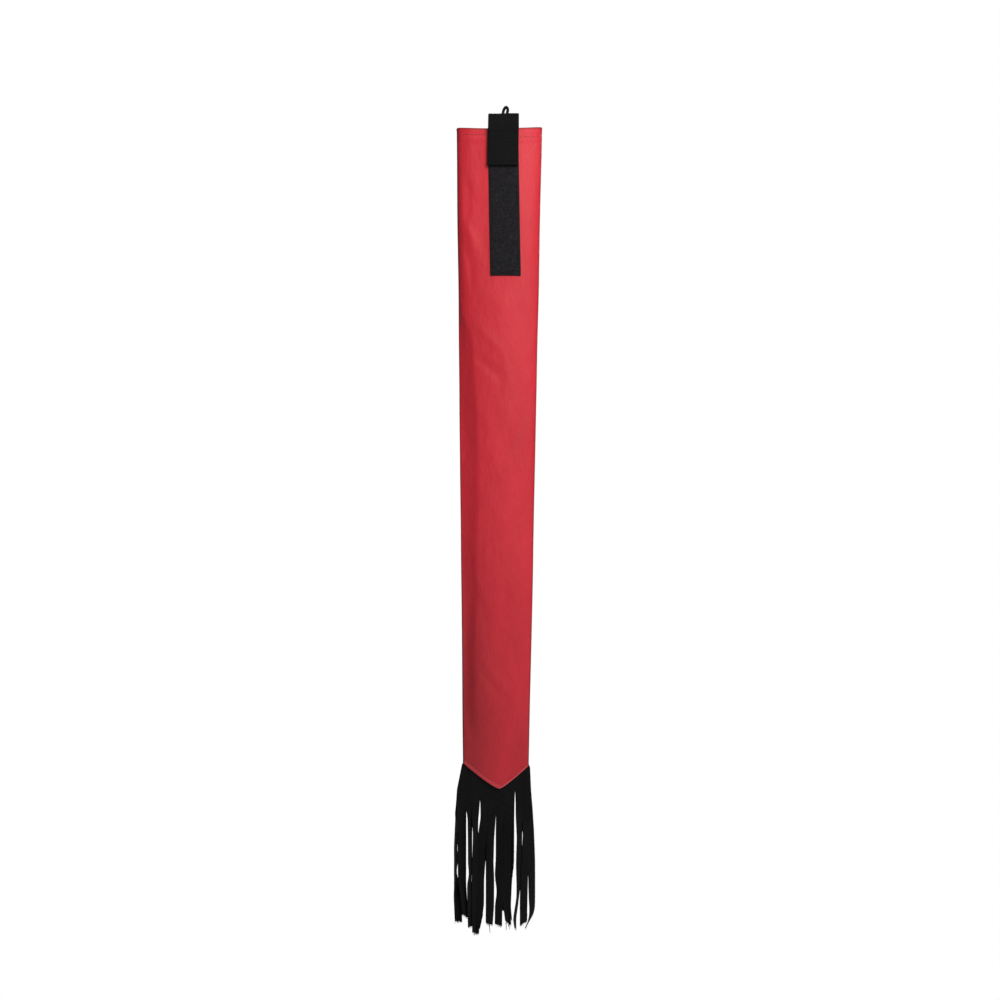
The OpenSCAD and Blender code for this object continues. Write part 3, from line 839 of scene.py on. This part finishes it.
def strap_surface(s, a):
    """The strap's middle surface. s runs along it from the root to the flap's end, a across it."""
    s, a = np.broadcast_arrays(np.asarray(s, float), np.asarray(a, float))
    turn = np.clip((s - RISE) / ARCH_R, 0, math.pi)
    y = ARCH_Y + ARCH_R * np.cos(turn)
    z = ARCH_Z + ARCH_R * np.sin(turn)
    z = np.where(s < RISE, ROOT_END + s, z)
    z = np.where(s > RISE + ARCH_LEN, ARCH_Z - (s - RISE - ARCH_LEN), z)
    x = STRAP_X + a + STRAP_TURN * np.maximum(s - CROWN, 0)
    # the root lies on the back hem, and the flap on the hooks, so both take the sleeve's roundness
    back = skin(x, np.minimum(z, -0.5), 1, -ROOT_OUT)[0][..., 1]
    front = skin(x, np.minimum(z, -0.5), -1, FLAP_OUT)[0][..., 1]
    y = np.where(s < CROWN, mix(y, back, smooth((-1.5 - z) / 7)), mix(y, front, smooth((-0.5 - z) / 7)))
    z = z + 0.25 * a / STRAP_W * np.sin(turn) + 0.12 * np.sin(a / 4) * np.sin(turn)
    return together(x, y, z)


def on_strap(s, a, out):
    """Points out from the middle of the strap on its outer side, and the outward directions there."""
    here = strap_surface(s, a)
    n = -unit(np.cross(strap_surface(s, a + 0.3) - here, strap_surface(s + 0.3, a) - here))
    return here + n * out, n


def strap_piece(name, s0, s1):
    """A length of the strap: ribbed webbing, thicker along its edges and where its ends are sealed."""
    rows = round((s1 - s0) / 0.2) + 1
    s, a = np.linspace(s0, s1, rows)[:, None], np.linspace(-STRAP_W / 2, STRAP_W / 2, 41)[None, :]
    grid = strap_surface(s, a)[:, ::-1]
    grid[np.abs(s[:, 0] - CROWN) < 1e-6, :, 1] = ARCH_Y
    edge = smooth((np.abs(a) - STRAP_W / 2 + 1.4) / 0.6)
    ribs = 0.13 * np.cos(2 * math.pi * s / RIB) * (1 - edge)
    ends = 0.35 * (np.exp(-(((STRAP_LEN - s - 0.8) / 1.2) ** 2)) + np.exp(-(((s - 0.8) / 1.2) ** 2)))
    thickness = STRAP_T - 0.1 + ribs + 0.14 * edge + ends
    shape = Shapes()
    shape.sheet(grid, thickness, together(a, s, 0.0)[:, ::-1], cut=(1, ARCH_Y))
    return sharpen(shape.make(name, STRAP), 1, ARCH_Y)


def sharpen(obj, axis, place):
    """Keeps the edges on a cut plane sharp, so that two pieces meet there without a line."""
    mesh = obj.data
    flat = np.abs(np.array([p.co[axis] for p in mesh.vertices]) / MM - place) < 1e-3
    marks = mesh.attributes.new("sharp_edge", "BOOLEAN", "EDGE")
    marks.data.foreach_set("value", [bool(flat[e.vertices[0]] and flat[e.vertices[1]]) for e in mesh.edges])
    return obj


def strap():
    """The strap's two halves, which meet at the crown of its smooth arch over the rim."""
    back = strap_piece("strap_back_half", 0, CROWN)
    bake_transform(back)
    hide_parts("strap_root", "strap_bridge")
    front = strap_piece("strap_front_half", CROWN, STRAP_LEN)
    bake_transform(front)
    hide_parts("strap_flap")


def flap_thread():
    """The thread round the flap, which also holds the hook tape behind it."""
    shape = Shapes()
    edge = STRAP_W / 2 - BORDER
    row_z = -3.0
    top, bottom = STRAP_LEN - (row_z - FLAP_END), STRAP_LEN - BORDER
    for hand in (-1, 1):
        stitched(shape, lambda s: on_strap(top + s, hand * edge, STRAP_T / 2), bottom - top)
    for row in (top, bottom):
        stitched(shape, lambda s: on_strap(row, s - edge, STRAP_T / 2), 2 * edge)
    obj = shape.make("flap_thread", BLACK_THREAD)
    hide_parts("flap_stitches")
    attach(obj, "flap")


def root_thread():
    """The box of thread that holds the strap's root, where it shows on the back panel."""
    shape = Shapes()
    half, top, bottom = 11, -11.0, -26.0
    left, right = STRAP_X - half, STRAP_X + half
    out = FABRIC_T / 2
    for z in (top, bottom):
        stitched(shape, lambda s: skin(left + s, z, 1, out), right - left)
    for x in (left, right):
        stitched(shape, lambda s: skin(x, top - s, 1, out), top - bottom)
    slope = (top - bottom) / (right - left)
    for hand in (-1, 1):
        stitched(shape, lambda s: skin(STRAP_X + hand * (s - half), top - s * slope, 1, out), 2 * half)
    obj = shape.make("strap_root_thread", RED_THREAD)
    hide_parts("strap_root_stitches")
    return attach(obj, "sleeve")


def hook_tape():
    """A plate of moulded plastic under the flap, with rows of small hooks that point into the pile."""
    half, top, bottom = STRAP_W / 2 - 1, -4.0, FLAP_END + 2
    a, z = np.linspace(-half, half, 25)[None, :], np.linspace(top, bottom, 41)[:, None]
    under = FLAP_OUT - STRAP_T / 2 - 0.03
    from_crown = 35.0
    middle = STRAP_X + STRAP_TURN * from_crown
    grid = skin(middle + a, z, -1, under - HOOK_BASE_T / 2)[0]
    base = Shapes()
    base.sheet(grid, HOOK_BASE_T, together(a, z, 0.0))
    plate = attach(base.make("hook_tape_plate", HOOK), "flap")
    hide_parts("hook_tape")
    rows, cols = np.meshgrid(np.arange(bottom + 1.6, top - 1, 1.25), np.arange(-half + 1.2, half - 1, 1.15))
    rows, cols = rows.ravel(), cols.ravel()
    foot, n = skin(middle + cols, rows, -1, under - HOOK_BASE_T + 0.05)
    down = np.array([0, 0, -1.0]) * np.where(np.arange(len(rows)) % 2, 1, -1)[:, None]
    # up the stem, over the crook and back down to its point
    bend = np.array([(0, 0), (0, 0.35), (0.05, 0.6), (0.22, 0.76), (0.42, 0.68), (0.48, 0.5)])
    along, out = bend[None, :, :1], bend[None, :, 1:] * HOOK_H / 0.76
    paths = foot[:, None] + down[:, None] * along - n[:, None] * out
    hooks = Shapes()
    hooks.tubes(paths, np.array([0.17, 0.14, 0.12, 0.11, 0.1, 0.07]), np.array([1.0, 0, 0]), sides=6)
    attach(hooks.make("hook_tape_hooks", HOOK), "flap")


def loop_tack():
    """The bar tack: threads side by side over both legs of the cord, down into the strap."""
    count = 9
    over = np.array([(0.2, 7.2), (0.7, 8.7), (1.1, 9.7), (2.3, 10.55), (3.75, 10.35), (5.2, 10.55),
                     (6.4, 9.7), (6.8, 8.7), (7.3, 7.2)])
    lift = 7.2 + np.arange(count) * 0.3
    sideways = np.where(np.arange(count) % 2, 0.25, -0.1)[:, None]
    paths = together(over[:, 0] + sideways, over[:, 1], lift[:, None])
    strap_y = ARCH_Y + np.sqrt(ARCH_R**2 - (lift - ARCH_Z) ** 2) + STRAP_T / 2
    paths[:, 0, 1] = paths[:, -1, 1] = strap_y - 0.2
    shape = Shapes()
    shape.tubes(paths, TACK_D / 2, np.array([0, 0, 1.0]), sides=6)
    obj = shape.make("hang_loop_thread", BLACK_THREAD)
    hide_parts("hang_loop_tack")
    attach(obj, "bridge")


strap()
flap_thread()
root_seam = root_thread()
hook_tape()
loop_tack()

# ---------------------------------------------------------------- fringe
FRINGE_T = 0.5
YOKE_TOP = -541.0
YOKE_LEFT = [(-541, -25), (-549, -29), (-553.5, -32.9), (-575, -37.2), (-589, -38.2)]
YOKE_RIGHT = [(-541, 19), (-550, 22.5), (-556, 26), (-575, 26.8), (-589, 27.9)]
SLITS = [(-17.4, -583.5, 1.0), (13.1, -574.5, 1.4)]  # x, where the slit starts, and its width at the hinge
RIBBON_W, RIBBON_COLS = 6.5, 11
BEND_LEN = 14.0  # how far below its hinge a ribbon bends

# Each ribbon: (z, x of its middle, how wide it shows). A ribbon that shows narrow is turned on edge.
RIBBONS = {
    "front_ribbon_1": [
        (-588, -33.85, 8.7), (-600, -33.2, 7.3), (-612, -33.1, 7), (-640, -33.1, 7), (-656, -33, 6.6),
        (-668, -31.6, 5.6), (-685, -30, 5),
    ],
    "front_ribbon_2": [
        (-588, -26.6, 5.8), (-598, -25.9, 4.4), (-612, -26.2, 3.4), (-640, -26.3, 3.2),
        (-648, -26.1, 1.9), (-657, -27, 3.4), (-668, -26.2, 4.6), (-694, -24.9, 6),
    ],
    "front_ribbon_3": [
        (-588, -20.8, 5.8), (-600, -21.6, 5.2), (-613, -21.4, 4.2), (-626, -20.8, 6),
        (-645, -21.2, 6.4), (-670, -21.4, 6.4), (-700, -21.4, 5.6),
    ],
    "front_ribbon_4": [
        (-588, -13.35, 7.1), (-600, -13.4, 6.6), (-612, -15.4, 6.3), (-626, -16.3, 6.2),
        (-646, -17.1, 6.3), (-674, -17.2, 6.2), (-686, -18.6, 5.6), (-694, -20, 4.6),
    ],
    "front_ribbon_5": [
        (-588, -6.5, 6.6), (-604, -7.6, 6.8), (-618, -8.7, 6.8), (-640, -9, 6.4), (-652, -8.7, 6.9),
        (-676, -8.8, 6.8), (-692, -9.2, 5.8),
    ],
    "front_ribbon_6": [
        (-588, 0.2, 6.8), (-612, -0.6, 5.8), (-636, -0.7, 5.7), (-650, -1.3, 6.2), (-665, 0.2, 5.6),
        (-676, -1.2, 6), (-693, -1.4, 6),
    ],
    "front_ribbon_7": [
        (-588, 8, 8.8), (-602, 7, 7.4), (-620, 6, 6.5), (-650, 5.6, 6.5), (-676, 5.6, 6.2),
        (-684, 6.2, 5.4), (-691, 6.8, 5),
    ],
    "front_ribbon_8": [
        (-588, 16.8, 6), (-602, 16.8, 5.6), (-616, 17, 4.4), (-640, 16.6, 4.8), (-658, 16.4, 3.4),
        (-669, 15.6, 1.9), (-678, 14.3, 2.5), (-687, 12.9, 2.5), (-694, 13.5, 1.3),
    ],
    "front_ribbon_9": [
        (-588, 23.85, 8.1), (-602, 23.3, 6.4), (-614, 23.1, 6.1), (-645, 21.4, 6.2), (-669, 20.5, 6.1),
        (-691.5, 20.5, 6),
    ],
    "back_ribbon_1": [
        (-588, -35.85, 4.7), (-596, -36.9, 3), (-603, -37.9, 2), (-617, -38.1, 3), (-627, -38.9, 2.4),
        (-637, -38.4, 3.2), (-648, -39.3, 1.7), (-656, -38.2, 3.6), (-668, -36.9, 6.6),
        (-690.5, -36.3, 6),
    ],
    "back_ribbon_2": [(-588, -31.05, 4.9), (-597, -32.6, 5.4), (-640, -32.9, 5.6), (-684, -31.2, 5)],
    "back_ribbon_3": [
        (-588, -23.25, 10.7), (-598, -21.9, 5.6), (-606, -21.4, 4), (-622, -21, 4.2), (-650, -20.9, 6),
        (-696, -20.6, 5.4),
    ],
    "back_ribbon_4": [(-588, -13.65, 6.5), (-606, -13.4, 5.8), (-650, -16.8, 5.6), (-688, -17.8, 4.6)],
    "back_ribbon_5": [(-588, -7.2, 6.4), (-620, -8.4, 5.6), (-690, -8.8, 5.2)],
    "back_ribbon_6": [
        (-588, -0.5, 7), (-606, 0.9, 6.2), (-640, 1.4, 6.2), (-660, 2.2, 6), (-681, 2.6, 5),
    ],
    "back_ribbon_7": [
        (-588, 7.7, 9.4), (-602, 8.9, 6.6), (-640, 9, 6.2), (-654, 7.5, 5.8), (-676, 6.6, 5.6),
        (-687, 7.8, 5.2),
    ],
    "back_ribbon_8": [
        (-588, 17.4, 7.2), (-602, 20.4, 5.8), (-616, 23, 5.2), (-645, 21.3, 5.6), (-689, 20.4, 5.2),
    ],
    "back_ribbon_9": [
        (-588, 24.45, 6.9), (-613, 26.6, 5.9), (-638, 27.5, 5.9), (-668, 27.8, 5.4), (-680, 28.1, 4.6),
        (-687, 27, 4), (-691, 25.2, 3), (-694, 23.2, 2.4),
    ],
}
FRAY_FROM, FRAY_SHARE = 14, 0.42  # the first row of a ribbon that frays, and how many of its rows do
END_FIBRES = 22
LOOSE_STRIP = 3.9  # a loose end longer than this is a torn strip and not one fibre
LONG_THREADS = {"front_ribbon_5": [(-0.2, 8.5)], "front_ribbon_7": [(-1.6, 7), (1.4, 6)],
                "front_ribbon_8": [(0.2, 4)], "back_ribbon_3": [(1.0, 4)]}


def fringe_y(x, z, side):
    """Where a layer of the fringe is, front to back. The two close on each other below the V, and wave."""
    loose = smooth((-566 - z) / 30)
    free = smooth((foot_z(np.clip((x - lean(z)) / half_w(z), -1, 1)) - z) / 6)
    wave = 0.12 * loose * (1 + soft_noise(x / 7, z / 24, 0.2, 31 + side))
    return side * (mix(LAYER_Y, NEAR_Y, free) + wave)


def yoke(name, side):
    """The uncut top of a fringe sheet, with the two slits that run up into it."""
    z = np.linspace(YOKE_TOP, HINGE_Z, 62)
    left = np.interp(z, *np.array(YOKE_LEFT[::-1], float).T)
    right = np.interp(z, *np.array(YOKE_RIGHT[::-1], float).T)
    sides = [left]
    for x, top, width in SLITS:
        gap = width / 2 * np.clip((top - z) / (top - HINGE_Z), 0, 1.1) ** 0.6
        sides += [x - gap, x + gap]
    sides.append(right)
    points, quads, known = [], [], {}
    for k in range(0, len(sides), 2):
        cols = round((sides[k + 1] - sides[k]).max() / 1.1)
        share = np.linspace(0, 1, cols + 1)[None, :]
        x = mix(sides[k][:, None], sides[k + 1][:, None], share)[:, ::-side]
        index = np.empty(x.shape, int)
        # the three parts share their points above the slits
        for row, col in np.ndindex(x.shape):
            key = (round(x[row, col], 4), round(z[row], 4))
            if key not in known:
                known[key] = len(points)
                points.append(key)
            index[row, col] = known[key]
        quads.append(grid_quads(index))
    x, z = np.array(points).T
    shape = Shapes()
    shape.plate(together(x, fringe_y(x, z, side), z), np.concatenate(quads), FRINGE_T,
                together(x, z, 0.0), cut=(2, HINGE_Z))
    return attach(sharpen(shape.make(name, FRINGE), 2, HINGE_Z), "sleeve")


def eased(z, z_knots, knots):
    """The values between the knots, as a line without corners."""
    values = np.interp(z, z_knots, knots)
    first, last = values[1] - values[0], values[-1] - values[-2]
    before = values[0] - first * np.arange(6, 0, -1)
    after = values[-1] + last * np.arange(1, 7)
    soft = np.hanning(13)
    return np.convolve(np.concatenate([before, values, after]), soft / soft.sum(), mode="valid")


def ribbon(name, number):
    """A ribbon of the fringe: cut cloth that turns, waves and curls, with a frayed end."""
    side = -1 if name.startswith("front") else 1
    draw = random.Random(500 + number)
    z_knots, x_knots, shown_knots = np.array(RIBBONS[name][::-1], float).T
    rows = round((HINGE_Z - z_knots[0]) / 1.1)
    z = np.linspace(HINGE_Z, z_knots[0], rows + 1)
    x, shown = (eased(z, z_knots, knots)[:, None] for knots in (x_knots, shown_knots))
    z = z[:, None]
    a = np.linspace(-0.5, 0.5, RIBBON_COLS)
    below = smooth((HINGE_Z - z) / BEND_LEN)
    width = np.maximum(RIBBON_W, shown)
    turn = np.arccos(np.clip(shown / width, 0.05, 1)) * draw.choice((-1, 1)) * below
    width = mix(shown, width, below)
    # the free length waves, its edges curl, and a part that is turned on edge stands out of its layer
    height, period = draw.uniform(0.5, 1.1), draw.uniform(26, 40)
    wave = height * (0.7 + soft_noise(0.5, z / period, number * 1.7, 41)) * below
    stand = np.abs(np.sin(turn)) * width / 2 * 0.9
    curl = draw.uniform(-0.6, 0.9) * below * smooth((HINGE_Z - z) / 60)
    bow = side * curl * (4 * a**2 - 0.4)
    ragged = np.array([draw.uniform(-0.5, 0.5) for _ in a])
    slant = draw.uniform(-2.2, 2.2)
    flutter = 0.16 * soft_noise(a * 2.4, z / 7, number, 55) * below
    spread = width * a
    layer = fringe_y(x + spread, np.maximum(z, HINGE_Z - 4), side)
    out = layer + side * (wave + stand) + (spread * np.sin(turn) + bow * np.cos(turn)) + flutter
    out = side * np.maximum(side * out, RIBBON_NEAR_Y)
    fall = np.linspace(0, 1, rows + 1)[:, None] ** 3
    low = z + fall * (slant * a * 2 * np.sign(np.cos(turn)) + ragged)
    grid = together(x + spread * np.cos(turn) - bow * np.sin(turn), out, low)[:, ::-side]
    shape = Shapes()
    shape.sheet(grid, FRINGE_T, together(x + spread, z, number)[:, ::-side], cut=(2, HINGE_Z))
    fray(shape, grid, draw, LONG_THREADS.get(name, []))
    obj = sharpen(shape.make(name + "_cloth", FRINGE), 2, HINGE_Z)
    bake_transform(obj)
    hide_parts(name)
    return obj


def fray(shape, grid, draw, long_threads):
    """Loose fibres along the cut sides, a fringe of them at the end, and any long threads."""
    rows, cols = grid.shape[:2]
    starts, ways = [], []
    for r in range(FRAY_FROM, rows - 1):
        if draw.random() < FRAY_SHARE:
            c = draw.choice((0, cols - 1))
            out = unit(grid[r, c] - grid[r, 1 if c == 0 else cols - 2])
            starts.append(grid[r, c] - out * 0.2)
            far = out * draw.uniform(0.3, 1.1)
            ways.append(far + np.array([0, draw.uniform(-0.4, 0.4), draw.uniform(-1.6, 0.1)]))
    for _ in range(END_FIBRES):
        k = draw.uniform(0, cols - 1)
        c = min(int(k), cols - 2)
        spot = mix(grid[-1, c], grid[-1, c + 1], k - c)
        starts.append(spot + np.array([0, 0, 0.3]))
        ways.append(np.array([draw.uniform(-0.5, 0.5), draw.uniform(-0.4, 0.4), -draw.uniform(0.8, 2.6)]))
    for shift, length in long_threads:
        starts.append(grid[-1, cols // 2] + np.array([shift, 0, 0.4]))
        ways.append(np.array([draw.uniform(-0.7, 0.7), -0.3, -length]))
    starts, ways = np.array(starts), np.array(ways)
    t = np.linspace(0, 1, 6)[None, :, None]
    bend = np.array([[draw.uniform(-0.5, 0.5), draw.uniform(-0.3, 0.3), 0] for _ in starts])
    size = np.linalg.norm(ways, axis=1)[:, None, None]
    paths = starts[:, None] + ways[:, None] * t + bend[:, None] * np.sin(t * 4.2) * size * 0.3
    flat = np.cross(ways, np.array([0.3, 1, 0.1]))
    thick = np.where(size[..., 0] > LOOSE_STRIP, 3.6, 1.0) * np.array([0.09, 0.09, 0.085, 0.08, 0.07, 0.05])
    shape.tubes(paths, thick, flat, sides=4)


front_yoke, back_yoke = yoke("front_fringe_cloth", -1), yoke("back_fringe_cloth", 1)
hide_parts("front_fringe_yoke")
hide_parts("back_fringe_yoke")
ribbons = [ribbon(name, number) for number, name in enumerate(RIBBONS)]

# ---------------------------------------------------------------- each panel's cut area, no more than the flat panel's
PANEL_FLAT = (0.092, 0.577)
for cloth_piece, cut_area, on_it in (
    (front_panel, front_area, [front_hem, hem_thread, tape_base, pile, tape_seam, front_v]),
    (back_panel, back_area, [back_hem, root_seam, back_v]),
):
    cut_area = min(float(cut_area), PANEL_FLAT[0] * PANEL_FLAT[1])

# ---------------------------------------------------------------- studio
AMBIENT = 0.07
FLOOR_R, FLOOR_Z = 2.8, -1.3


def surroundings():
    """White all round for the camera, and much dimmer for the light."""
    world = bpy.data.worlds.new("studio")
    bpy.context.scene.world = world
    world.use_nodes = True
    nodes, links = world.node_tree.nodes, world.node_tree.links
    lit, seen = nodes["Background"], nodes.new("ShaderNodeBackground")
    for background, strength in ((lit, AMBIENT), (seen, 1.0)):
        background.inputs["Color"].default_value = (1, 1, 1, 1)
        background.inputs["Strength"].default_value = strength
    path, both = nodes.new("ShaderNodeLightPath"), nodes.new("ShaderNodeMixShader")
    links.new(path.outputs["Is Camera Ray"], both.inputs[0])
    links.new(lit.outputs[0], both.inputs[1])
    links.new(seen.outputs[0], both.inputs[2])
    links.new(both.outputs[0], nodes["World Output"].inputs["Surface"])


def pale_floor():
    """A round floor, low and small enough to stay out of the front view."""
    turns = np.linspace(0, 2 * math.pi, 97)[:-1]
    edge = [(FLOOR_R * math.cos(turn), FLOOR_R * math.sin(turn), FLOOR_Z) for turn in turns]
    mesh = bpy.data.meshes.new("floor")
    mesh.from_pydata(edge, [], [tuple(range(len(edge)))])
    pale = Paint("pale_floor", 0.7, 0.2)
    pale.shader.inputs["Emission Color"].default_value = (1, 1, 0.99, 1)
    pale.shader.inputs["Emission Strength"].default_value = 0.55
    tone = pale.noise(pale.space(0.002), 2.0)
    pale.colour(pale.ramp(tone, [(0.3, (0.83, 0.83, 0.82, 1)), (0.7, (0.86, 0.86, 0.85, 1))]))
    mesh.materials.append(pale.material)
    floor = bpy.data.objects.new("floor", mesh)
    bpy.context.scene.collection.objects.link(floor)


def lamp(name, place, aim, size, power):
    """A round soft lamp, turned to the point it is aimed at."""
    data = bpy.data.lights.new(name, "AREA")
    data.shape, data.size, data.energy = "DISK", size, power
    data.color = (1, 0.975, 0.93)
    obj = bpy.data.objects.new(name, data)
    obj.location = place
    obj.rotation_euler = (Vector(aim) - Vector(place)).to_track_quat("-Z", "Y").to_euler()
    bpy.context.scene.collection.objects.link(obj)


surroundings()
pale_floor()
lamp("key", (0.5, -0.92, 0.58), (0, 0, -0.05), 0.9, 22.5)
lamp("fill", (-1.6, -1.4, 0.2), (0, 0, -0.3), 1.2, 0.5)
lamp("back", (0.9, 1.5, 0.6), (0, 0, -0.3), 0.9, 20)
bpy.context.scene.view_settings.view_transform = "Standard"
